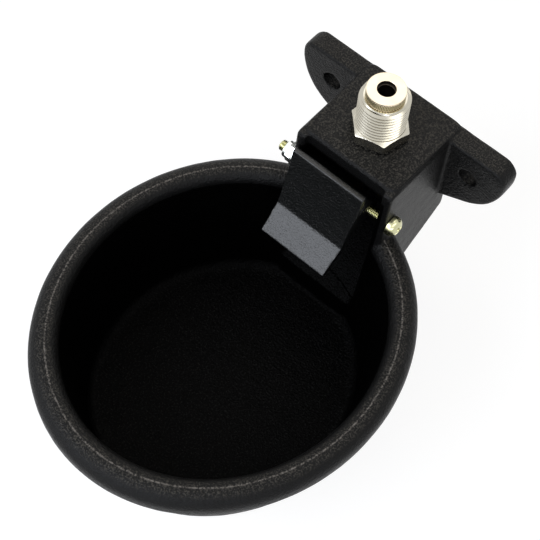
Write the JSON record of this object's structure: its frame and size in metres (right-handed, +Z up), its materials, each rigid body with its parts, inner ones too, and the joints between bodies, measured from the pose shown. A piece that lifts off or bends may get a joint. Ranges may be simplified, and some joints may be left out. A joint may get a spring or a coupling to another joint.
{
  "type": "livestock drinking bowl",
  "caption": "Oval cast drinking bowl with a wall flange and a press tongue that opens a spring valve below a threaded water inlet.",
  "frame": {"origin": "midway between the two wall bolt holes, on the back face of the wall flange", "axes": "+Y into the wall, -Y to the front of the bowl, +Z up along the inlet, X along the hinge"},
  "size_m": [0.1484, 0.2002, 0.1275],
  "materials": {
    "black_iron": "black semi-gloss paint over rough sand-cast iron",
    "zinc_steel": "zinc-plated with a yellowish passivation",
    "nylon": "natural nylon, slightly milky",
    "rubber": "matt black NBR",
    "nickel_brass": "nickel-plated, bright, turned",
    "bare_brass": "bare turned brass",
    "spring_steel": "bright stainless wire"
  },
  "bodies": {
    "bowl": {"bowl_casting": "black_iron", "hinge_bolt": "zinc_steel", "hinge_washer": "zinc_steel", "hinge_lock_nut": "zinc_steel", "lock_nut_ring": "nylon", "body_gasket": "rubber", "valve_body": "nickel_brass", "inlet_insert": "nickel_brass", "valve_spring": "spring_steel"},
    "tongue": {"press_tongue": "black_iron"},
    "plunger": {"valve_plunger": "bare_brass", "plunger_seal": "rubber"}
  },
  "joints": [
    {"name": "tongue_press", "type": "hinge", "parent": "bowl", "child": "tongue", "pos_m": [0, -0.0449, -0.0066], "axis": [1, 0, 0], "range_deg": [0, 12]},
    {"name": "plunger_lift", "type": "slide", "parent": "bowl", "child": "plunger", "axis": [0, 0, 1], "range_m": [0, 0.0042], "stiffness_N_per_m": 150, "springref_m": -0.004, "deforming": ["valve_spring"]}
  ],
  "couplings": [
    {"joint": "tongue_press", "follows": "plunger_lift", "rad_per_m": 49.8}
  ]
}
